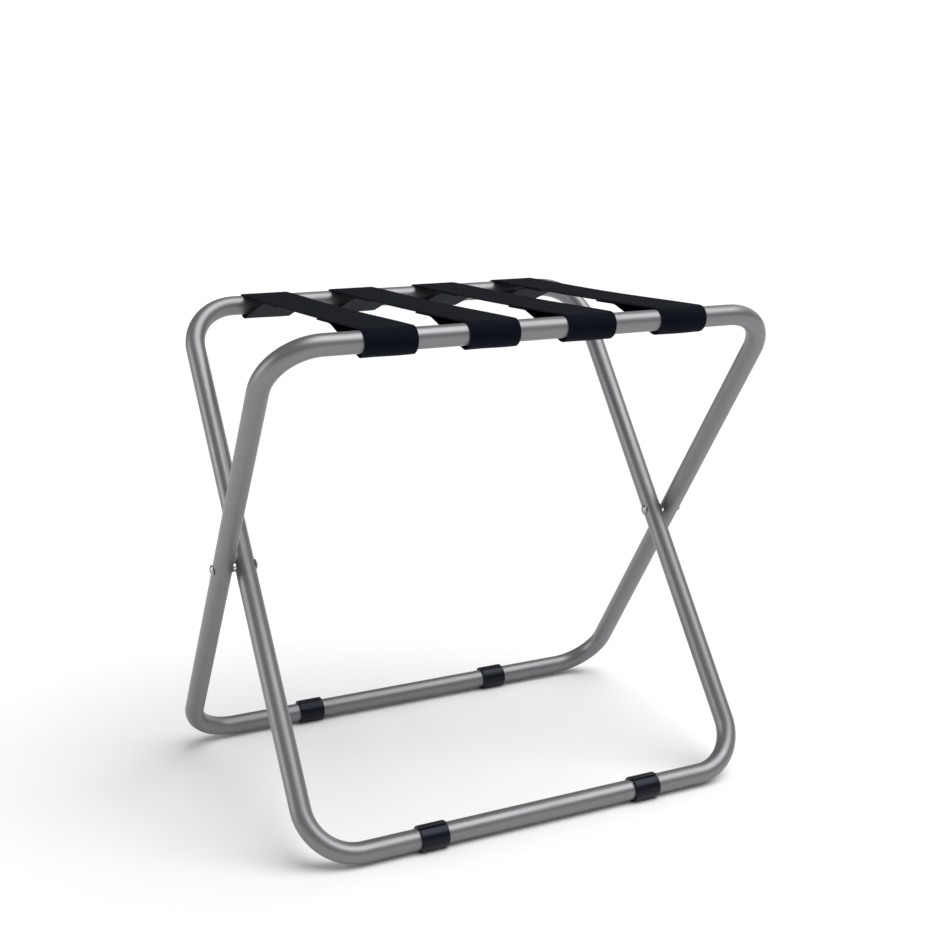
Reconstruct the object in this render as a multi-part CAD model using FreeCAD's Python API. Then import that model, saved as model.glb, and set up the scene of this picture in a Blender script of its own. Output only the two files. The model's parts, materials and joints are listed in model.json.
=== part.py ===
import FreeCAD, Part
import math
import os

# Folding luggage rack: two closed tube loops crossed on a pair of rivets, four webbing straps
# between the top bars, and four clip-over foot sleeves on the bottom bars. Each loop is kept as
# four tubes that meet end to end, a bow at the top and the bottom and a leg at each side.
# Frame: origin on the floor under the middle of the pivot axis, +X along the long bars to the
# right, -Y towards the front, +Z up. The rack stands open. Lengths are in mm, angles in degrees.

# Tube frames
TUBE_DIAMETER = 20.0
TUBE_WALL = 1.2
OUTER_LEG_SPACING = 513.0    # between the leg axes of the outer frame
LEG_GAP = 2.6                # between an outer leg and the inner leg beside it
PIVOT_TO_BAR = 291.0         # from the pivot axis to each bar axis, along the legs
BEND_RADIUS = 50.0           # of the tube's axis at the corners
LEG_LEAN = 36.2              # of each frame from upright when open

# Pivots
RIVET_DIAMETER = 6.0
RIVET_HOLE_DIAMETER = 6.1
RIVET_HEAD_DIAMETER = 10.4
RIVET_HEAD_HEIGHT = 2.7
RIVET_HEAD_RIM = 0.6         # straight edge of the head below its dome
HEAD_CLEARANCE = 0.1         # between a head and the tube it holds
WASHER_OUTER_DIAMETER = 9.6
WASHER_INNER_DIAMETER = 6.4
WASHER_THICKNESS = 2.4

# Foot sleeves
SLEEVE_LENGTH = 28.0
SLEEVE_WALL = 2.5
SLEEVE_CENTRE_X = 116.0
SLEEVE_CLEARANCE = 0.05      # round the tube
SLEEVE_FLAT_DEPTH = 0.3      # cut off the bottom as a land that meets the floor
SLEEVE_SLIT_WIDTH = 3.2
SLEEVE_SLIT_TURN = 20.0      # of the slit from the top towards the outside of the rack

# Webbing straps
STRAP_WIDTH = 50.0
STRAP_PITCH = 99.0           # between the centres of neighbouring straps
STRAP_COUNT = 4
WEB_THICKNESS = 1.6
LOOP_CLEARANCE = 0.3         # between the webbing and the bar, over its top
LOOP_SLACK = 2.1             # more room than that under the bar, where the loop hangs free
TAIL_SLOPE = 17.5            # of the tail, from the loop's bottom up to the span
SEAM_LENGTH = 30.0           # of the tail sewn flat under the span
FOLD_PIECE_LENGTH = 14.0     # of span past the middle, which turns over as the strap folds

# Worked-out sizes
TUBE_RADIUS = TUBE_DIAMETER / 2
TUBE_BORE_RADIUS = TUBE_RADIUS - TUBE_WALL
INNER_LEG_SPACING = OUTER_LEG_SPACING - 2 * (TUBE_DIAMETER + LEG_GAP)
LEAN = math.radians(LEG_LEAN)
BAR_Y = PIVOT_TO_BAR * math.sin(LEAN)
BAR_RISE = PIVOT_TO_BAR * math.cos(LEAN)
SLEEVE_RADIUS = TUBE_RADIUS + SLEEVE_WALL
PIVOT_Z = BAR_RISE + SLEEVE_RADIUS - SLEEVE_FLAT_DEPTH
LOOP_INNER_RADIUS = TUBE_RADIUS + LOOP_CLEARANCE
LOOP_OUTER_RADIUS = LOOP_INNER_RADIUS + WEB_THICKNESS

X_AXIS = FreeCAD.Vector(1, 0, 0)
Y_AXIS = FreeCAD.Vector(0, 1, 0)
Z_AXIS = FreeCAD.Vector(0, 0, 1)
CENTRE = FreeCAD.Vector(0, 0, 0)


def cylinder_along_x(radius, x_start, x_end, y=0.0, z=0.0):
    start = FreeCAD.Vector(x_start, y, z)
    return Part.makeCylinder(radius, x_end - x_start, start, X_AXIS)


def tube_ring(centre, normal):
    """The tube's section, a flat ring."""
    outer = Part.Face(Part.Wire(Part.makeCircle(TUBE_RADIUS, centre, normal)))
    bore = Part.Face(Part.Wire(Part.makeCircle(TUBE_BORE_RADIUS, centre, normal)))
    return outer.cut(bore).Faces[0]


def tube_corner(x_side, z_side, spacing):
    """A quarter bend that joins a leg to a bar."""
    pivot = FreeCAD.Vector(
        x_side * (spacing / 2 - BEND_RADIUS), 0, z_side * (PIVOT_TO_BAR - BEND_RADIUS)
    )
    leg_end = pivot + X_AXIS * (x_side * BEND_RADIUS)
    turn = -90 * x_side * z_side
    return tube_ring(leg_end, Z_AXIS).revolve(pivot, Y_AXIS, turn)


def tube_bow(spacing, z_side):
    """A frame's top or bottom bar with the bend at each of its ends."""
    bar_half = spacing / 2 - BEND_RADIUS
    bar_end = FreeCAD.Vector(-bar_half, 0, z_side * PIVOT_TO_BAR)
    bar = tube_ring(bar_end, X_AXIS).extrude(X_AXIS * (2 * bar_half))
    return bar.multiFuse([tube_corner(x_side, z_side, spacing) for x_side in (-1, 1)])


def tube_leg(spacing, x_side):
    """A frame's straight leg, with its rivet hole through both walls."""
    leg_half = PIVOT_TO_BAR - BEND_RADIUS
    leg_foot = FreeCAD.Vector(x_side * spacing / 2, 0, -leg_half)
    leg = tube_ring(leg_foot, Z_AXIS).extrude(Z_AXIS * (2 * leg_half))
    reach = spacing / 2 + TUBE_DIAMETER
    return leg.cut(cylinder_along_x(RIVET_HOLE_DIAMETER / 2, -reach, reach))


def tube_frame(spacing, lean):
    """A closed loop of tube as its bows and legs, leaned about the pivot axis."""
    tubes = {
        "top_bow": tube_bow(spacing, 1),
        "bottom_bow": tube_bow(spacing, -1),
        "left_leg": tube_leg(spacing, -1),
        "right_leg": tube_leg(spacing, 1),
    }
    for tube in tubes.values():
        tube.rotate(CENTRE, X_AXIS, lean)
        tube.translate(Z_AXIS * PIVOT_Z)
    return tubes


def rivet_head(x_base, side):
    """A low dome whose flat base is at x_base and which rises in the direction of side."""
    radius = RIVET_HEAD_DIAMETER / 2
    dome_height = RIVET_HEAD_HEIGHT - RIVET_HEAD_RIM
    dome_radius = (radius ** 2 + dome_height ** 2) / (2 * dome_height)
    dome_latitude = math.degrees(math.acos(radius / dome_radius))
    x_rim = x_base + side * RIVET_HEAD_RIM
    dome_centre = FreeCAD.Vector(x_rim + side * (dome_height - dome_radius), 0, 0)
    rim = cylinder_along_x(radius, min(x_base, x_rim), max(x_base, x_rim))
    dome = Part.makeSphere(dome_radius, dome_centre, X_AXIS * side, dome_latitude, 90, 360)
    return rim.fuse(dome)


def pivot_rivet(side):
    """A rivet through an outer leg, the washer and the inner leg, with a head at each end."""
    x_outer = side * (OUTER_LEG_SPACING / 2 + TUBE_RADIUS + HEAD_CLEARANCE)
    x_inner = side * (INNER_LEG_SPACING / 2 - TUBE_RADIUS - HEAD_CLEARANCE)
    shank = cylinder_along_x(RIVET_DIAMETER / 2, min(x_outer, x_inner), max(x_outer, x_inner))
    rivet = shank.multiFuse([rivet_head(x_outer, side), rivet_head(x_inner, -side)])
    rivet.translate(Z_AXIS * PIVOT_Z)
    return rivet.removeSplitter()


def spacer_washer(side):
    """The washer that keeps an inner leg off its outer leg."""
    x_middle = side * (OUTER_LEG_SPACING / 2 - TUBE_RADIUS - LEG_GAP / 2)
    x_start = x_middle - WASHER_THICKNESS / 2
    x_end = x_middle + WASHER_THICKNESS / 2
    disc = cylinder_along_x(WASHER_OUTER_DIAMETER / 2, x_start, x_end, z=PIVOT_Z)
    hole = cylinder_along_x(WASHER_INNER_DIAMETER / 2, x_start, x_end, z=PIVOT_Z)
    return disc.cut(hole)


def foot_sleeve(x_side, y_side):
    """A C-shaped sleeve clipped over a bottom bar, with a slit near its top and a flat land below."""
    y_bar = y_side * BAR_Y
    z_bar = PIVOT_Z - BAR_RISE
    x_start = x_side * SLEEVE_CENTRE_X - SLEEVE_LENGTH / 2
    x_end = x_start + SLEEVE_LENGTH
    body = cylinder_along_x(SLEEVE_RADIUS, x_start, x_end, y_bar, z_bar)
    bore = cylinder_along_x(TUBE_RADIUS + SLEEVE_CLEARANCE, x_start, x_end, y_bar, z_bar)
    slit_corner = FreeCAD.Vector(x_start, -SLEEVE_SLIT_WIDTH / 2, 0)
    slit = Part.makeBox(SLEEVE_LENGTH, SLEEVE_SLIT_WIDTH, 2 * SLEEVE_RADIUS, slit_corner)
    slit.rotate(CENTRE, X_AXIS, -y_side * SLEEVE_SLIT_TURN)
    slit.translate(FreeCAD.Vector(0, y_bar, z_bar))
    floor_corner = FreeCAD.Vector(x_start, y_bar - SLEEVE_RADIUS, -SLEEVE_RADIUS)
    below_floor = Part.makeBox(SLEEVE_LENGTH, 2 * SLEEVE_RADIUS, SLEEVE_RADIUS, floor_corner)
    return body.cut(bore).cut(slit).cut(below_floor)


def web_strip(start, direction, length, x_centre):
    """A flat run of webbing: start is on its lower face, and direction lies in the YZ plane."""
    normal = X_AXIS.cross(direction)
    corner = FreeCAD.Vector(x_centre - STRAP_WIDTH / 2, start.y, start.z)
    edges = [
        corner,
        corner + direction * length,
        corner + direction * length + normal * WEB_THICKNESS,
        corner + normal * WEB_THICKNESS,
        corner,
    ]
    return Part.Face(Part.makePolygon(edges)).extrude(X_AXIS * STRAP_WIDTH)


def web_wrap(centre, radius, angle_start, sweep, x_centre):
    """Webbing bent round an arc whose inner radius is given. Angles turn from +Y towards +Z."""
    angle = math.radians(angle_start)
    outward = FreeCAD.Vector(0, math.cos(angle), math.sin(angle))
    start = FreeCAD.Vector(x_centre - STRAP_WIDTH / 2, centre.y, centre.z) + outward * radius
    edges = [
        start,
        start + outward * WEB_THICKNESS,
        start + outward * WEB_THICKNESS + X_AXIS * STRAP_WIDTH,
        start + X_AXIS * STRAP_WIDTH,
        start,
    ]
    return Part.Face(Part.makePolygon(edges)).revolve(centre, X_AXIS, sweep)


def front_loop(x_centre):
    """A strap's front half: the sewn loop round the front bar and the span to the middle.

    The webbing goes forward over the bar, down, back under it and up in a tail, and the tail is
    sewn flat under the span.
    """
    bar = FreeCAD.Vector(0, -BAR_Y, PIVOT_Z + BAR_RISE)
    slope = math.radians(TAIL_SLOPE)
    tail_direction = FreeCAD.Vector(0, math.cos(slope), math.sin(slope))
    tail_outward = FreeCAD.Vector(0, math.sin(slope), -math.cos(slope))
    # Under the bar the loop widens to a larger arc, which meets the upper one in front.
    slack_centre = FreeCAD.Vector(0, LOOP_SLACK, 0)
    slack_radius = LOOP_INNER_RADIUS + LOOP_SLACK
    tail_start = slack_centre + tail_outward * slack_radius
    tail_length = (LOOP_INNER_RADIUS - tail_start.z) / math.sin(slope)
    seam_y = tail_start.y + tail_length * math.cos(slope)
    seam_start = FreeCAD.Vector(0, seam_y, LOOP_INNER_RADIUS - WEB_THICKNESS)
    span_start = FreeCAD.Vector(0, 0, LOOP_INNER_RADIUS)
    tail_underside = tail_start + tail_outward * WEB_THICKNESS
    pieces = [
        web_strip(bar + span_start, Y_AXIS, BAR_Y, x_centre),
        web_wrap(bar, LOOP_INNER_RADIUS, 90, 90, x_centre),
        web_wrap(bar + slack_centre, slack_radius, 180, 90 + TAIL_SLOPE, x_centre),
        web_strip(bar + tail_underside, tail_direction, tail_length, x_centre),
        web_strip(bar + seam_start, Y_AXIS, SEAM_LENGTH, x_centre),
    ]
    return pieces[0].multiFuse(pieces[1:]).removeSplitter()


def rear_loop(x_centre):
    """A strap's rear half: the mirror of its front half, short of the fold piece."""
    half = front_loop(x_centre).mirror(CENTRE, Y_AXIS)
    z_low = PIVOT_Z + BAR_RISE
    corner = FreeCAD.Vector(x_centre - STRAP_WIDTH, 0, z_low)
    fold_space = Part.makeBox(
        2 * STRAP_WIDTH, FOLD_PIECE_LENGTH, 2 * LOOP_OUTER_RADIUS, corner
    )
    return half.cut(fold_space)


def fold_piece(x_centre):
    """The short run of span behind the middle, which turns over when the strap folds."""
    start = FreeCAD.Vector(0, 0, PIVOT_Z + BAR_RISE + LOOP_INNER_RADIUS)
    return web_strip(start, Y_AXIS, FOLD_PIECE_LENGTH, x_centre)


def export(name, shape):
    solids = shape.Solids
    if len(solids) != 1 or not shape.isValid():
        raise RuntimeError(f"{name}: {len(solids)} solids, valid {shape.isValid()}")
    solids[0].exportStep(f"parts/{name}.step")


os.makedirs("parts", exist_ok=True)

for tube_name, tube in tube_frame(OUTER_LEG_SPACING, LEG_LEAN).items():
    export(f"outer_frame_{tube_name}", tube)
for tube_name, tube in tube_frame(INNER_LEG_SPACING, -LEG_LEAN).items():
    export(f"inner_frame_{tube_name}", tube)

for side_name, x_side in (("left", -1), ("right", 1)):
    export(f"{side_name}_pivot_rivet", pivot_rivet(x_side))
    export(f"{side_name}_spacer_washer", spacer_washer(x_side))
    for end_name, y_side in (("front", -1), ("rear", 1)):
        export(f"{end_name}_{side_name}_foot_sleeve", foot_sleeve(x_side, y_side))

for index in range(STRAP_COUNT):
    x_strap = (index - (STRAP_COUNT - 1) / 2) * STRAP_PITCH
    export(f"strap_{index + 1}_front", front_loop(x_strap))
    export(f"strap_{index + 1}_fold", fold_piece(x_strap))
    export(f"strap_{index + 1}_rear", rear_loop(x_strap))
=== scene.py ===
import json
import math
import random

import bpy
from mathutils import Matrix, Vector


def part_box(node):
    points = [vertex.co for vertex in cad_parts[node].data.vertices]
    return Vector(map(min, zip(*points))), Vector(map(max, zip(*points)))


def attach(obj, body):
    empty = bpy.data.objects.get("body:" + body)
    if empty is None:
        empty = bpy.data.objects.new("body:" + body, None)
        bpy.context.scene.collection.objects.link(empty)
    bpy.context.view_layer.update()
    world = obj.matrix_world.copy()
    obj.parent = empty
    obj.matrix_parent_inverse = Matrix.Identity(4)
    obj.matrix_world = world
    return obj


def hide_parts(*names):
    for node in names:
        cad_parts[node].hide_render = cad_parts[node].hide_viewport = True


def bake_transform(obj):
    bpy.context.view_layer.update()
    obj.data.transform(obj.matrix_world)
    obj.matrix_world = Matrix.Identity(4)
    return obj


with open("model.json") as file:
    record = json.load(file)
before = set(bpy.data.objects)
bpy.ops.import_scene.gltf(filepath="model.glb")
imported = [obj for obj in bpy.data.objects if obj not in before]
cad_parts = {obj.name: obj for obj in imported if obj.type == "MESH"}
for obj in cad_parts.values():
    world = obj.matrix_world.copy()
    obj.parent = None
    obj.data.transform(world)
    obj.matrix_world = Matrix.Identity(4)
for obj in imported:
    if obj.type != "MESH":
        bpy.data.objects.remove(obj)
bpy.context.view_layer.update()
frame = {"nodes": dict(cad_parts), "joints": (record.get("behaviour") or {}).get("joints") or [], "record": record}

# Folding luggage rack, in metres, in the frame of the CAD model: +X along the bars to the right,
# -Y towards the front, +Z up, origin on the floor under the middle of the pivot axis.

MM = 0.001
JOINTS = {joint["name"]: joint for joint in frame["joints"]}
STRAPS = (1, 2, 3, 4)

# Places and sizes that the frame gives
PIVOT = Vector(JOINTS["fold"]["pos_m"])
FRONT_BAR = Vector(JOINTS["strap_front_hang"]["pos_m"])
REAR_BAR = Vector(JOINTS["strap_rear_hang"]["pos_m"])
LEG_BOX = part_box("outer_frame_left_leg")
TUBE_RADIUS = (LEG_BOX[1].x - LEG_BOX[0].x) / 2
WEB_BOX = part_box("strap_1_fold")
WEB_WIDTH = WEB_BOX[1].x - WEB_BOX[0].x
WEB_THICKNESS = WEB_BOX[1].z - WEB_BOX[0].z
WEB_MIDDLE_Z = (WEB_BOX[1].z + WEB_BOX[0].z) / 2
FOLD_CUT_Y = WEB_BOX[1].y            # where a strap's front and rear pieces meet
LOOP_RADIUS = WEB_MIDDLE_Z - FRONT_BAR.z

# Tube frames
BEND_RADIUS = 50 * MM                # of the tube's axis
BEND_STEPS = 30
LEG_STEPS = 24
BAR_STEPS = 24
TUBE_POINTS = 72
BEND_FLATTENING = 0.025              # share by which a bend narrows the tube; it widens by half of it

# Webbing
LOOP_SLACK = 2.1 * MM                # more room under the bar than over it
TAIL_SLOPE = math.radians(17.5)
TAIL_BEND_RADIUS = 25 * MM
SEAM_LENGTH = 30 * MM
PLY_GAP = 0.06 * MM
SPAN_SAG = 1.2 * MM
LOOP_DRIFT = 0.9 * MM                # sideways, of a loop's underside
LOOP_RUFFLE = 0.8 * MM               # out of flat, of a loop's free side
RUFFLE_PLACE = (0.2, 0.8)            # of the ruffle's hollow across the width, drawn between these
WEAR_SEED = 7                        # for the drift, the ruffle and the stitches' jitter
RIB_COUNT = 20                       # lengthwise ribs across the webbing
RIB_DEPTH = 0.16 * MM
POINTS_PER_RIB = 6
EDGE_POINTS = 5
STATION_STEP = 2.0 * MM
YARN_PITCH = 1.25 * MM               # across the webbing
WEAVE_REPEAT = 1.6 * MM              # along it, over one pick and under the next
HAIR = 0.1 * MM                      # allowed for rounding when the seam's start is looked up

# Stitching: a box with a cross in it
STITCH_LENGTH = 3.0 * MM
STITCH_PITCH = 3.7 * MM
THREAD_RADIUS = 0.32 * MM
STITCH_MARGIN = 3.5 * MM             # from the edges of the seam
STITCH_JITTER = 0.12 * MM            # sideways, either way
STITCH_ARCH = 0.35                   # rise of a stitch's middle, in thread radii
STITCH_TIP = 0.25                    # radius at a stitch's ends, in thread radii
STITCH_SIDES = 8
STITCH_STATIONS = 7

# Foot sleeves
SLEEVE_SLIT_TURN = math.radians(20)  # of the slit, from the top towards the outside of the rack
SLEEVE_SLIT_HALF = math.radians(3.6)
SLEEVE_FLAT_DEPTH = 0.3 * MM
SLEEVE_CLEARANCE = 0.05 * MM
SLEEVE_ROUNDING = 0.7 * MM
SLEEVE_LIP_RISE = 0.6 * MM           # of the lips on both sides of the slit
SLEEVE_LIP_WIDTH = math.radians(16)
SLEEVE_CORNER_TURN = math.radians(2.5)   # within which the lips' corners are rounded
SLEEVE_OUTER_CORNER = 0.7 * MM       # taken off a lip's outer corner
SLEEVE_INNER_CORNER = 0.3 * MM       # taken off its inner corner
SLEEVE_BORE_FLARE = 0.4              # of the bore at the rims, as a share of the outer rounding
SLEEVE_STEPS = 88
SLEEVE_ROUNDING_STEPS = 5
SLEEVE_MIDDLE_STATIONS = (0.2, 0.4, 0.6, 0.8)

# Colours, linear
PAINT = (0.22, 0.22, 0.228)
PAINT_FLAKE = ((0.188, 0.188, 0.195), (0.252, 0.252, 0.262))
PAINT_RUBBED = (0.31, 0.31, 0.318)
RIVET_STEEL = (0.42, 0.42, 0.44)
WASHER_STEEL = (0.78, 0.78, 0.80)
STAIN_SHADE = 0.72                   # of bare steel where it is stained
PLASTIC = (0.005, 0.006, 0.01)
PLASTIC_SCUFF = ((0.003, 0.0036, 0.0065), (0.011, 0.013, 0.019))
PLASTIC_TINT = (0.75, 0.8, 1, 1)
WEBBING = (0.008, 0.009, 0.013)
# The yarn's colour, and painted shade where the weave dips under a pick and between yarns
WEBBING_YARN_AND_SHADE = ((0.001, 0.0015, 0.003), (0.005, 0.0075, 0.014))
WEBBING_FADED = (0.008, 0.012, 0.021)
# Painted shade for the grooves between the webbing's lengthwise ribs
WEBBING_GROOVE_SHADE = (0.001, 0.0012, 0.002)
WEBBING_TINT = (0.55, 0.7, 1, 1)
THREAD = (0.01, 0.011, 0.015)
# The thread's colour, and painted shade in the hollows between its twisted plies
THREAD_PLY_AND_SHADE = ((0.005, 0.0055, 0.008), (0.017, 0.018, 0.024))
FLOOR_GREY = (0.94, 0.94, 0.94)
WHITE = (1, 1, 1, 1)

# Studio
FLOOR_HALF_SIZE = 40.0
# Name, azimuth, elevation and angle across in degrees, strength. Azimuth 0 is behind the rack (+Y)
# and 90 is on its right (+X).
SUNS = (
    ("overhead", 130, 64, 56, 2.75),
    ("left", 285, 15, 36, 0.85),
    ("right_rear", 60, 20, 40, 0.3),
)
SURROUND_STRENGTH = 0.26
BACKDROP_STRENGTH = 1.04             # seen by the camera only

# Camera, solved from the photo
CAMERA_DISTANCE = 1.46665
CAMERA_AZIMUTH = math.radians(25.255)
CAMERA_ELEVATION = math.radians(12.12)
CAMERA_ROLL = math.radians(-0.783)
CAMERA_AIM = Vector((0.0049, 0, 0.08674))    # from the pivot axis's middle
CAMERA_LENS = 55.0
CAMERA_SENSOR = 36.0
CAMERA_SHIFT_Y = -0.0121


# ---------------------------------------------------------------- materials

def new_material(name, base, metallic, roughness):
    material = bpy.data.materials.new(name)
    material.use_nodes = True
    shader = material.node_tree.nodes["Principled BSDF"]
    shader.inputs["Base Color"].default_value = (*base, 1)
    shader.inputs["Metallic"].default_value = metallic
    shader.inputs["Roughness"].default_value = roughness
    return material, material.node_tree, shader


def add(tree, kind, **settings):
    node = tree.nodes.new(kind)
    for key, value in settings.items():
        setattr(node, key, value)
    return node


def object_place(tree):
    return add(tree, "ShaderNodeTexCoord").outputs["Object"]


def stretched(tree, vector, scale):
    node = add(tree, "ShaderNodeMapping")
    node.inputs["Scale"].default_value = scale
    tree.links.new(vector, node.inputs["Vector"])
    return node.outputs["Vector"]


def noise(tree, vector, scale, detail=3.0, roughness=0.55):
    node = add(tree, "ShaderNodeTexNoise")
    node.inputs["Scale"].default_value = scale
    node.inputs["Detail"].default_value = detail
    node.inputs["Roughness"].default_value = roughness
    tree.links.new(vector, node.inputs["Vector"])
    return node.outputs["Fac"]


def math_node(tree, operation, first, second=None):
    node = add(tree, "ShaderNodeMath", operation=operation)
    for socket, value in zip(node.inputs, (first, second)):
        if value is None:
            continue
        if isinstance(value, (int, float)):
            socket.default_value = value
        else:
            tree.links.new(value, socket)
    return node.outputs[0]


def spread(tree, value, given, wanted):
    """Maps value from the given range to the wanted one, clamped."""
    node = add(tree, "ShaderNodeMapRange", clamp=True)
    tree.links.new(value, node.inputs["Value"])
    for key, number in zip(("From Min", "From Max", "To Min", "To Max"), (*given, *wanted)):
        node.inputs[key].default_value = number
    return node.outputs["Result"]


def mix_colours(tree, factor, first, second):
    node = add(tree, "ShaderNodeMix", data_type="RGBA")
    tree.links.new(factor, node.inputs["Factor"])
    for socket, value in ((node.inputs[6], first), (node.inputs[7], second)):
        if isinstance(value, tuple):
            socket.default_value = (*value, 1)
        else:
            tree.links.new(value, socket)
    return node.outputs[2]


def bump(tree, height, strength, distance, normal=None):
    node = add(tree, "ShaderNodeBump")
    node.inputs["Strength"].default_value = strength
    node.inputs["Distance"].default_value = distance
    tree.links.new(height, node.inputs["Height"])
    if normal is not None:
        tree.links.new(normal, node.inputs["Normal"])
    return node.outputs["Normal"]


def frame_paint():
    """Silver-grey metallic powder coat: fine flake, slight orange peel, faint rubbed patches."""
    material, tree, shader = new_material("frame_paint", PAINT, metallic=0.7, roughness=0.41)
    place = object_place(tree)
    flake = noise(tree, place, 2600, detail=1.0)
    cloud = noise(tree, place, 9, detail=4.0)
    rubbed = spread(tree, noise(tree, place, 34, detail=5.0, roughness=0.65), (0.62, 0.72), (0, 1))
    grey = mix_colours(tree, spread(tree, flake, (0.35, 0.65), (0, 1)), *PAINT_FLAKE)
    grey = mix_colours(tree, spread(tree, rubbed, (0, 1), (0, 0.25)), grey, PAINT_RUBBED)
    tree.links.new(grey, shader.inputs["Base Color"])
    broad = spread(tree, cloud, (0.3, 0.7), (0.37, 0.45))
    fine = spread(tree, flake, (0.3, 0.7), (-0.02, 0.03))
    rough = math_node(tree, "ADD", broad, fine)
    rough = math_node(tree, "SUBTRACT", rough, spread(tree, rubbed, (0, 1), (0, 0.05)))
    tree.links.new(rough, shader.inputs["Roughness"])
    peel = bump(tree, noise(tree, place, 300, detail=1.0), strength=0.12, distance=0.0001)
    flaked = bump(tree, flake, strength=0.06, distance=0.00003, normal=peel)
    tree.links.new(flaked, shader.inputs["Normal"])
    return material


def plain_metal(name, base, roughness):
    """Bare turned or pressed steel with fine scratches."""
    material, tree, shader = new_material(name, base, 1.0, roughness)
    place = object_place(tree)
    scratch = noise(tree, stretched(tree, place, (1.0, 7.0, 1.0)), 900)
    stain = spread(tree, noise(tree, place, 160), (0.35, 0.7), (0, 1))
    stained = tuple(STAIN_SHADE * part for part in base)
    tree.links.new(mix_colours(tree, stain, base, stained), shader.inputs["Base Color"])
    rough = spread(tree, scratch, (0.3, 0.7), (roughness - 0.07, roughness + 0.1))
    tree.links.new(rough, shader.inputs["Roughness"])
    tree.links.new(bump(tree, scratch, strength=0.2, distance=0.00003), shader.inputs["Normal"])
    return material


def sleeve_plastic():
    """Blue-black moulded plastic with a fine spark-eroded texture and light scuffs."""
    material, tree, shader = new_material("sleeve_plastic", PLASTIC, metallic=0.0, roughness=0.34)
    shader.inputs["Specular IOR Level"].default_value = 0.24
    shader.inputs["Specular Tint"].default_value = PLASTIC_TINT
    place = object_place(tree)
    grain = noise(tree, place, 2200, detail=2.0)
    scuff = spread(tree, noise(tree, place, 110, detail=5.0, roughness=0.7), (0.58, 0.74), (0, 1))
    tree.links.new(mix_colours(tree, scuff, *PLASTIC_SCUFF), shader.inputs["Base Color"])
    fine = spread(tree, grain, (0.3, 0.7), (0.27, 0.37))
    rough = math_node(tree, "ADD", fine, spread(tree, scuff, (0, 1), (0, 0.14)))
    tree.links.new(rough, shader.inputs["Roughness"])
    tree.links.new(bump(tree, grain, strength=0.3, distance=0.00005), shader.inputs["Normal"])
    return material


def webbing():
    """Near-black navy woven webbing: U runs across it and V along it, both in metres."""
    material, tree, shader = new_material("strap_webbing", WEBBING, metallic=0.0, roughness=0.72)
    shader.inputs["Specular IOR Level"].default_value = 0.07
    shader.inputs["Specular Tint"].default_value = WEBBING_TINT
    uv = add(tree, "ShaderNodeUVMap", uv_map="weave").outputs["UV"]
    split = add(tree, "ShaderNodeSeparateXYZ")
    tree.links.new(uv, split.inputs["Vector"])
    across, along = split.outputs["X"], split.outputs["Y"]
    column = math_node(tree, "DIVIDE", across, YARN_PITCH)
    row = math_node(tree, "DIVIDE", along, WEAVE_REPEAT)
    # Each warp yarn goes over one pick and under the next, and neighbours are half a repeat apart.
    above_zero = math_node(tree, "ADD", column, 1000)
    odd = math_node(tree, "MODULO", math_node(tree, "FLOOR", above_zero), 2)
    phase = math_node(tree, "ADD", row, math_node(tree, "MULTIPLY", odd, 0.5))
    float_wave = math_node(tree, "SINE", math_node(tree, "MULTIPLY", phase, 2 * math.pi))
    within_yarn = math_node(tree, "MULTIPLY", math_node(tree, "FRACT", column), math.pi)
    yarn_round = math_node(tree, "POWER", math_node(tree, "SINE", within_yarn), 0.6)
    weave = math_node(tree, "MULTIPLY", spread(tree, float_wave, (-1, 1), (0.15, 1)), yarn_round)
    fibre = noise(tree, stretched(tree, uv, (5200, 420, 1)), 1.0)
    fade = noise(tree, stretched(tree, uv, (60, 25, 1)), 1.0, detail=4.0)
    # Painted shade: the webbing is darker where the weave dips, under the picks and between the yarns.
    colour = mix_colours(tree, weave, *WEBBING_YARN_AND_SHADE)
    colour = mix_colours(tree, spread(tree, fade, (0.45, 0.75), (0, 0.4)), colour, WEBBING_FADED)
    # Painted shade: the grooves between the lengthwise ribs are darker than the ribs.
    rib_turns = 2 * math.pi * RIB_COUNT / (WEB_WIDTH - WEB_THICKNESS)
    rib_wave = math_node(tree, "COSINE", math_node(tree, "MULTIPLY", across, rib_turns))
    colour = mix_colours(tree, spread(tree, rib_wave, (0.1, -0.9), (0, 0.75)), colour, WEBBING_GROOVE_SHADE)
    tree.links.new(colour, shader.inputs["Base Color"])
    tree.links.new(spread(tree, fibre, (0.3, 0.7), (0.6, 0.82)), shader.inputs["Roughness"])
    woven = bump(tree, weave, strength=0.8, distance=0.00022)
    fuzzy = bump(tree, fibre, strength=0.35, distance=0.00008, normal=woven)
    tree.links.new(fuzzy, shader.inputs["Normal"])
    return material


def thread():
    """Near-black bonded nylon thread."""
    material, tree, shader = new_material("strap_thread", THREAD, metallic=0.0, roughness=0.45)
    shader.inputs["Specular IOR Level"].default_value = 0.12
    twist = add(tree, "ShaderNodeTexWave", wave_type="BANDS", bands_direction="DIAGONAL")
    twist.inputs["Scale"].default_value = 900
    tree.links.new(object_place(tree), twist.inputs["Vector"])
    ply = twist.outputs["Fac"]
    # Painted shade: the thread is darker in the hollows between its twisted plies.
    tree.links.new(mix_colours(tree, ply, *THREAD_PLY_AND_SHADE), shader.inputs["Base Color"])
    tree.links.new(spread(tree, ply, (0, 1), (0.38, 0.55)), shader.inputs["Roughness"])
    tree.links.new(bump(tree, ply, strength=0.4, distance=0.00005), shader.inputs["Normal"])
    return material


# ---------------------------------------------------------------- mesh helpers

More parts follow.
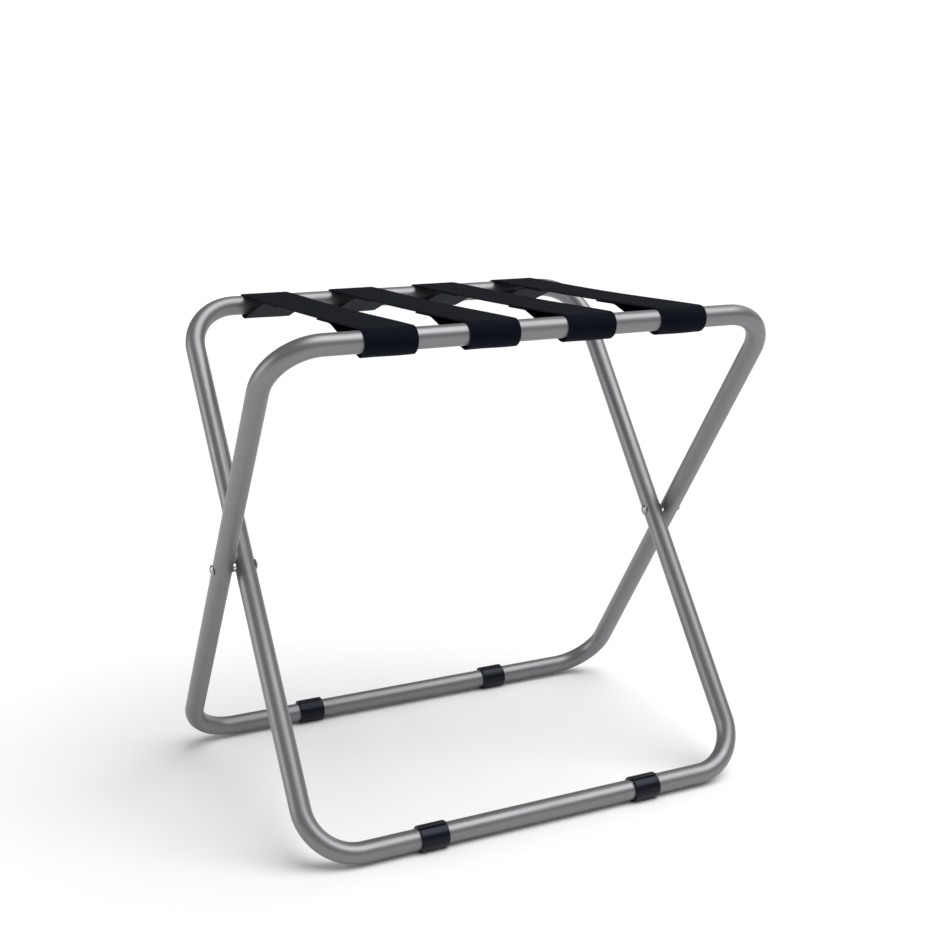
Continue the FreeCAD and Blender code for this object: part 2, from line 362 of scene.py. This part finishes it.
def make_object(name, points, faces, material, uvs=None, smooth=True):
    mesh = bpy.data.meshes.new(name)
    mesh.from_pydata(points, [], faces)
    if uvs is not None:
        layer = mesh.uv_layers.new(name="weave")
        for loop in mesh.loops:
            layer.data[loop.index].uv = uvs[loop.vertex_index]
    mesh.materials.append(material)
    # Cut ends are single flat faces with a crisp edge.
    shading = [smooth and polygon.loop_total == 4 for polygon in mesh.polygons]
    mesh.polygons.foreach_set("use_smooth", shading)
    mesh.update()
    obj = bpy.data.objects.new(name, mesh)
    bpy.context.scene.collection.objects.link(obj)
    return obj


# ---------------------------------------------------------------- straps

def line_points(start, end, step=STATION_STEP):
    count = max(2, int(math.ceil((end - start).length / step)))
    return [start.lerp(end, i / count) for i in range(count)]


def arc_points(centre, radius, start, end, step_angle=math.radians(6)):
    count = max(2, int(math.ceil(abs(end - start) / step_angle)))
    points = []
    for i in range(count):
        angle = start + (end - start) * i / count
        points.append(centre + radius * Vector((math.cos(angle), math.sin(angle))))
    return points


def sag(y):
    """How far the span hangs below its straight line, the same for both halves of a strap."""
    share = min(1.0, abs(y) / abs(FRONT_BAR.y))
    return SPAN_SAG * (1 - share ** 2) ** 2


def half_strap_path(y_cut):
    """The middle line of a strap's front half, as (y, z), from the cut to the sewn end.

    It runs along the span to the front bar, over it, down, back under it and up in a tail, and
    then flat under the span, where it is sewn.
    """
    bar = Vector((FRONT_BAR.y, FRONT_BAR.z))
    radius = LOOP_RADIUS
    top = bar + Vector((0, radius))
    span = [Vector((p.x, p.y - sag(p.x))) for p in line_points(Vector((y_cut, top.y)), top)]
    over = arc_points(bar, radius, math.pi / 2, math.pi)
    slack_centre = bar + Vector((LOOP_SLACK, 0))
    slack_radius = radius + LOOP_SLACK
    leave = TAIL_SLOPE - math.pi / 2
    under = arc_points(slack_centre, slack_radius, -math.pi, leave)
    tail_start = slack_centre + slack_radius * Vector((math.cos(leave), math.sin(leave)))
    uphill = Vector((math.cos(TAIL_SLOPE), math.sin(TAIL_SLOPE)))
    seam_z = top.y - WEB_THICKNESS - PLY_GAP
    corner = tail_start + uphill * ((seam_z - tail_start.y) / uphill.y)
    tangent_length = TAIL_BEND_RADIUS * math.tan(TAIL_SLOPE / 2)
    tail = line_points(tail_start, corner - uphill * tangent_length)
    bend_centre = corner + Vector((tangent_length, -TAIL_BEND_RADIUS))
    bend = arc_points(bend_centre, TAIL_BEND_RADIUS, math.pi / 2 + TAIL_SLOPE, math.pi / 2)
    first = corner + Vector((tangent_length, 0))
    last = first + Vector((SEAM_LENGTH, 0))
    seam = line_points(first, last) + [last]
    free = [p for p in tail if p.y <= bar.y]
    # The sewn ply and the tail's upper part follow the span's sag.
    hung = []
    for p in tail + bend + seam:
        if p.y > bar.y:
            hung.append(Vector((p.x, p.y - sag(p.x) * min(1.0, (p.y - bar.y) / radius))))
    return span + over + under + free + hung


def web_section():
    """The webbing's section as (x, height), going once round it."""
    half = WEB_WIDTH / 2
    edge = WEB_THICKNESS / 2
    flat = half - edge
    count = RIB_COUNT * POINTS_PER_RIB
    section = []
    for side in (1, -1):
        for i in range(count + 1):
            x = side * flat * (1 - 2 * i / count)
            rib = math.cos(2 * math.pi * RIB_COUNT * (x + flat) / (2 * flat))
            section.append((x, side * (edge - RIB_DEPTH * (0.5 - 0.5 * rib))))
        for i in range(1, EDGE_POINTS):
            angle = side * math.pi / 2 + math.pi * i / EDGE_POINTS
            section.append((-side * flat + edge * math.cos(angle), edge * math.sin(angle)))
    return section


def strap_half(name, x_centre, y_cut, mirror, materials, draw):
    """One half of a strap as a ribbed ribbon. Mirror is -1 for the front half and 1 for the rear one.

    The loop drifts a little sideways and its free side is not quite flat, as in worn webbing.
    """
    path = half_strap_path(y_cut)
    drift = draw.uniform(-LOOP_DRIFT, LOOP_DRIFT)
    hollow = draw.uniform(*RUFFLE_PLACE)
    top_of_bar = min(range(len(path)), key=lambda i: (path[i] - Vector((FRONT_BAR.y, 1))).length)
    sewn_from = path[-1].x - SEAM_LENGTH - HAIR
    sewn = next(i for i in range(top_of_bar, len(path)) if path[i].x > sewn_from)
    section = web_section()
    points, uvs, faces = [], [], []
    along = -y_cut
    ring = len(section)
    for i, place in enumerate(path):
        before = path[max(0, i - 1)]
        after = path[min(len(path) - 1, i + 1)]
        tangent = (after - before).normalized()
        normal = Vector((tangent.y, -tangent.x))
        if i:
            along += (place - path[i - 1]).length
        share = min(1.0, max(0.0, (i - top_of_bar) / (sewn - top_of_bar)))
        loose = math.sin(math.pi * share) ** 2
        for x, height in section:
            wave = 0.5 - 0.5 * math.cos(2 * math.pi * (x / WEB_WIDTH + hollow))
            ruffle = LOOP_RUFFLE * loose * share * wave
            spot = place + normal * (height + ruffle)
            points.append((x_centre + x + drift * loose, -mirror * spot.x, spot.y))
            uvs.append((x, mirror * along))
    for i in range(len(path) - 1):
        for j in range(ring):
            k = (j + 1) % ring
            faces.append((i * ring + j, i * ring + k, (i + 1) * ring + k, (i + 1) * ring + j))
    last = (len(path) - 1) * ring
    faces.append(tuple(range(ring))[::-1])
    faces.append(tuple(last + j for j in range(ring)))
    if mirror > 0:
        faces = [face[::-1] for face in faces]
    piece = make_object(name, points, faces, materials["strap_webbing"], uvs)
    return piece


def seam_start():
    """Y where the sewn stretch of a front half begins."""
    return half_strap_path(0)[-1].x - SEAM_LENGTH


def stitch_lines():
    """The box and the cross of a seam, as pairs of (x, share of the seam's length)."""
    half = WEB_WIDTH / 2 - STITCH_MARGIN
    low = STITCH_MARGIN / SEAM_LENGTH
    high = 1 - low
    corners = [(-half, low), (half, low), (half, high), (-half, high)]
    box = [(corners[i], corners[(i + 1) % 4]) for i in range(4)]
    return box + [(corners[0], corners[2]), (corners[1], corners[3])]


def stitch_capsule(start, end, up, points, faces):
    """Adds one stitch, a low rounded thread from start to end that dips at both ends."""
    along = (end - start).normalized()
    side = up.cross(along)
    base = len(points)
    for i in range(STITCH_STATIONS):
        share = i / (STITCH_STATIONS - 1)
        swell = math.sqrt(max(0.0, 1 - (2 * share - 1) ** 4))
        centre = start.lerp(end, share) + up * (STITCH_ARCH * THREAD_RADIUS * swell)
        radius = THREAD_RADIUS * (STITCH_TIP + (1 - STITCH_TIP) * swell)
        for j in range(STITCH_SIDES):
            angle = 2 * math.pi * j / STITCH_SIDES
            points.append(centre + radius * (math.cos(angle) * side + math.sin(angle) * up))
    for i in range(STITCH_STATIONS - 1):
        first = base + i * STITCH_SIDES
        second = first + STITCH_SIDES
        for j in range(STITCH_SIDES):
            k = (j + 1) % STITCH_SIDES
            faces.append((first + j, first + k, second + k, second + j))
    last = base + (STITCH_STATIONS - 1) * STITCH_SIDES
    faces.append(tuple(base + j for j in range(STITCH_SIDES))[::-1])
    faces.append(tuple(last + j for j in range(STITCH_SIDES)))


def seam_stitches(name, x_centre, mirror, materials, draw):
    """The thread that shows on top of the span and under the sewn ply."""
    y_first = seam_start()
    top = WEB_MIDDLE_Z + WEB_THICKNESS / 2
    bottom = top - 2 * WEB_THICKNESS - PLY_GAP
    points, faces = [], []
    for height, up in ((top, Vector((0, 0, 1))), (bottom, Vector((0, 0, -1)))):
        for (x_start, share_start), (x_end, share_end) in stitch_lines():
            start = Vector((x_start, y_first + share_start * SEAM_LENGTH))
            end = Vector((x_end, y_first + share_end * SEAM_LENGTH))
            count = max(1, round((end - start).length / STITCH_PITCH))
            for i in range(count):
                middle = start.lerp(end, (i + 0.5) / count)
                middle.x += draw.uniform(-STITCH_JITTER, STITCH_JITTER)
                half = (end - start).normalized() * STITCH_LENGTH / 2
                ends = []
                for spot in (middle - half, middle + half):
                    z = height - sag(spot.y) - up.z * RIB_DEPTH
                    ends.append(Vector((x_centre + spot.x, -mirror * spot.y, z)))
                stitch_capsule(ends[0], ends[1], up, points, faces)
    piece = make_object(name, points, faces, materials["strap_thread"])
    return piece


def build_straps(materials):
    draw = random.Random(WEAR_SEED)
    for number in STRAPS:
        low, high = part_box(f"strap_{number}_fold")
        x_centre = (low.x + high.x) / 2
        front = strap_half(f"strap_{number}_front_web", x_centre, FOLD_CUT_Y, -1, materials, draw)
        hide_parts(f"strap_{number}_front", f"strap_{number}_fold")
        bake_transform(front)
        rear = strap_half(f"strap_{number}_rear_web", x_centre, -FOLD_CUT_Y, 1, materials, draw)
        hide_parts(f"strap_{number}_rear")
        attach(rear, "strap_rears")
        front_thread = seam_stitches(f"strap_{number}_front_stitches", x_centre, -1, materials, draw)
        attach(front_thread, "strap_fronts")
        rear_thread = seam_stitches(f"strap_{number}_rear_stitches", x_centre, 1, materials, draw)
        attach(rear_thread, "strap_rears")


# ---------------------------------------------------------------- metal and plastic

def loop_stations(half_width, half_height):
    """Places round a frame's loop as (x, h, angle of the outward side, flattening)."""
    bar_half = half_width - BEND_RADIUS
    leg_half = half_height - BEND_RADIUS
    stations = []
    for quarter in range(4):
        outward = quarter * math.pi / 2
        length = leg_half if quarter % 2 == 0 else bar_half
        reach = half_width if quarter % 2 == 0 else half_height
        steps = LEG_STEPS if quarter % 2 == 0 else BAR_STEPS
        out = Vector((math.cos(outward), math.sin(outward)))
        ahead = Vector((-out.y, out.x))
        for i in range(steps):
            spot = out * reach + ahead * length * (2 * i / steps - 1)
            stations.append((spot.x, spot.y, outward, 0.0))
        centre = out * (reach - BEND_RADIUS) + ahead * length
        for i in range(BEND_STEPS):
            share = i / BEND_STEPS
            angle = outward + share * math.pi / 2
            spot = centre + BEND_RADIUS * Vector((math.cos(angle), math.sin(angle)))
            stations.append((spot.x, spot.y, angle, BEND_FLATTENING * math.sin(share * math.pi)))
    return stations


def tube_loop(name, body, bar_axis, materials):
    """A frame's closed loop of tube, in the plane through the pivot axis and its top bar."""
    low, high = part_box(f"{body}_right_leg")
    half_width = (low.x + high.x) / 2
    uphill = (bar_axis - PIVOT).normalized()
    half_height = (bar_axis - PIVOT).length
    across = Vector((1, 0, 0)).cross(uphill)
    points, faces = [], []
    stations = loop_stations(half_width, half_height)
    for x, height, angle, flattening in stations:
        outward = Vector((1, 0, 0)) * math.cos(angle) + uphill * math.sin(angle)
        centre = PIVOT + Vector((x, 0, 0)) + uphill * height
        for j in range(TUBE_POINTS):
            turn = 2 * math.pi * j / TUBE_POINTS
            in_plane = TUBE_RADIUS * (1 - flattening) * math.cos(turn)
            out_of_plane = TUBE_RADIUS * (1 + flattening / 2) * math.sin(turn)
            points.append(centre + outward * in_plane + across * out_of_plane)
    for i in range(len(stations)):
        k = (i + 1) % len(stations)
        for j in range(TUBE_POINTS):
            m = (j + 1) % TUBE_POINTS
            here, there = i * TUBE_POINTS, k * TUBE_POINTS
            faces.append((here + j, there + j, there + m, here + m))
    piece = make_object(name, points, faces, materials["frame_paint"])
    tubes = [node for node in frame["record"]["behaviour"]["bodies"][body] if node.startswith(body)]
    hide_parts(*tubes)
    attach(piece, body)


def sleeve_outline(shrink):
    """A sleeve's section, slit at the top, as (angle, outer radius, inner radius).

    Angles run from one lip round the bottom to the other. Shrink pulls the outer wall in and
    flares the bore at a rounded end.
    """
    pairs = []
    start = math.pi / 2 + SLEEVE_SLIT_HALF
    sweep = 2 * math.pi - 2 * SLEEVE_SLIT_HALF
    low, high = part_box("front_left_foot_sleeve")
    outer = (high.y - low.y) / 2
    for i in range(SLEEVE_STEPS + 1):
        angle = start + sweep * i / SLEEVE_STEPS
        from_lip = min(angle - start, start + sweep - angle)
        lip = max(0.0, 1 - from_lip / SLEEVE_LIP_WIDTH)
        corner = max(0.0, 1 - from_lip / SLEEVE_CORNER_TURN) ** 2
        wall_out = outer - shrink + SLEEVE_LIP_RISE * lip ** 2 * (3 - 2 * lip)
        wall_out -= SLEEVE_OUTER_CORNER * corner
        wall_in = TUBE_RADIUS + SLEEVE_CLEARANCE
        wall_in += SLEEVE_BORE_FLARE * shrink + SLEEVE_INNER_CORNER * corner
        pairs.append((angle, wall_out, wall_in))
    return pairs


def foot_sleeve(node, materials):
    """A C-shaped moulded sleeve with rounded rims, raised lips and a flat land under it."""
    low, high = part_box(node)
    side = -1 if node.startswith("front") else 1
    y_axis = (low.y + high.y) / 2
    outer = (high.y - low.y) / 2
    z_axis = low.z + outer - SLEEVE_FLAT_DEPTH
    body = "inner_frame" if side < 0 else "outer_frame"
    length = high.x - low.x
    stations = []
    for i in range(SLEEVE_ROUNDING_STEPS + 1):
        turn = math.pi / 2 * i / SLEEVE_ROUNDING_STEPS
        stations.append((SLEEVE_ROUNDING * (1 - math.cos(turn)), SLEEVE_ROUNDING * (1 - math.sin(turn))))
    stations += [(length * share, 0.0) for share in SLEEVE_MIDDLE_STATIONS]
    stations += [(length - x, shrink) for x, shrink in stations[SLEEVE_ROUNDING_STEPS::-1]]
    points, faces = [], []
    for x, shrink in stations:
        pairs = sleeve_outline(shrink)
        ring = [(angle, wall_out) for angle, wall_out, wall_in in pairs]
        ring += [(angle, wall_in) for angle, wall_out, wall_in in reversed(pairs)]
        for angle, radius in ring:
            turned = angle - side * SLEEVE_SLIT_TURN
            y = radius * math.cos(turned)
            z = max(radius * math.sin(turned), -outer + SLEEVE_FLAT_DEPTH)
            points.append((low.x + x, y_axis + y, z_axis + z))
    count = len(ring)
    half = count // 2
    for i in range(len(stations) - 1):
        for j in range(count):
            k = (j + 1) % count
            faces.append((i * count + j, (i + 1) * count + j, (i + 1) * count + k, i * count + k))
    last = (len(stations) - 1) * count
    for j in range(half - 1):
        faces.append((j, j + 1, count - 2 - j, count - 1 - j))
        faces.append((last + j, last + count - 1 - j, last + count - 2 - j, last + j + 1))
    piece = make_object(node + "_moulding", points, faces, materials["sleeve_plastic"])
    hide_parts(node)
    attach(piece, body)


def build_metal_and_plastic(materials):
    tube_loop("outer_frame_tube", "outer_frame", FRONT_BAR, materials)
    tube_loop("inner_frame_tube", "inner_frame", REAR_BAR, materials)
    for node in frame["nodes"]:
        if node.endswith("foot_sleeve"):
            foot_sleeve(node, materials)


def paint_nodes(materials):
    finish = {part["node"]: part["material_slot"] for part in frame["record"]["subparts"]}
    for node, obj in frame["nodes"].items():
        obj.data.materials.clear()
        obj.data.materials.append(materials[finish[node]])


# ---------------------------------------------------------------- studio

def soft_sun(name, azimuth, elevation, across, strength):
    """A large far softbox."""
    data = bpy.data.lights.new(name, "SUN")
    data.energy = strength
    data.angle = math.radians(across)
    light = bpy.data.objects.new(name, data)
    turn, rise = math.radians(azimuth), math.radians(elevation)
    toward = Vector((math.sin(turn) * math.cos(rise), math.cos(turn) * math.cos(rise), math.sin(rise)))
    light.rotation_euler = toward.to_track_quat("Z", "Y").to_euler()
    bpy.context.scene.collection.objects.link(light)


def build_studio():
    material, _, shader = new_material("floor", FLOOR_GREY, metallic=0.0, roughness=0.9)
    shader.inputs["Specular IOR Level"].default_value = 0.0
    size = FLOOR_HALF_SIZE
    corners = [(-size, -size, 0), (size, -size, 0), (size, size, 0), (-size, size, 0)]
    floor = make_object("floor", corners, [(0, 1, 2, 3)], material, smooth=False)
    for sun in SUNS:
        soft_sun(*sun)
    world = bpy.data.worlds.new("studio")
    bpy.context.scene.world = world
    world.use_nodes = True
    tree = world.node_tree
    surround = tree.nodes["Background"]
    surround.inputs["Color"].default_value = WHITE
    surround.inputs["Strength"].default_value = SURROUND_STRENGTH
    backdrop = add(tree, "ShaderNodeBackground")
    backdrop.inputs["Color"].default_value = WHITE
    backdrop.inputs["Strength"].default_value = BACKDROP_STRENGTH
    seen = add(tree, "ShaderNodeLightPath").outputs["Is Camera Ray"]
    choose = add(tree, "ShaderNodeMixShader")
    tree.links.new(seen, choose.inputs["Fac"])
    tree.links.new(surround.outputs["Background"], choose.inputs[1])
    tree.links.new(backdrop.outputs["Background"], choose.inputs[2])
    tree.links.new(choose.outputs["Shader"], tree.nodes["World Output"].inputs["Surface"])
    bpy.context.scene.view_settings.view_transform = "Standard"


def build_camera():
    """The camera stands to the front left, a little above the rack, and leans by under a degree."""
    forward = Vector((math.sin(CAMERA_AZIMUTH) * math.cos(CAMERA_ELEVATION),
                      math.cos(CAMERA_AZIMUTH) * math.cos(CAMERA_ELEVATION),
                      -math.sin(CAMERA_ELEVATION)))
    right = forward.cross(Vector((0, 0, 1))).normalized()
    up = right.cross(forward)
    turned_right = math.cos(CAMERA_ROLL) * right + math.sin(CAMERA_ROLL) * up
    turned_up = -math.sin(CAMERA_ROLL) * right + math.cos(CAMERA_ROLL) * up
    data = bpy.data.cameras.new("camera")
    data.lens = CAMERA_LENS
    data.sensor_width = CAMERA_SENSOR
    data.shift_y = CAMERA_SHIFT_Y
    camera = bpy.data.objects.new("camera", data)
    axes = Matrix((turned_right, turned_up, -forward)).transposed().to_4x4()
    place = PIVOT + CAMERA_AIM - forward * CAMERA_DISTANCE
    camera.matrix_world = Matrix.Translation(place) @ axes
    bpy.context.scene.collection.objects.link(camera)
    bpy.context.scene.camera = camera


MATERIALS = {
    "frame_paint": frame_paint(),
    "rivet_steel": plain_metal("rivet_steel", RIVET_STEEL, 0.34),
    "washer_steel": plain_metal("washer_steel", WASHER_STEEL, 0.22),
    "sleeve_plastic": sleeve_plastic(),
    "strap_webbing": webbing(),
    "strap_thread": thread(),
}
paint_nodes(MATERIALS)
build_metal_and_plastic(MATERIALS)
build_straps(MATERIALS)
build_studio()
build_camera()
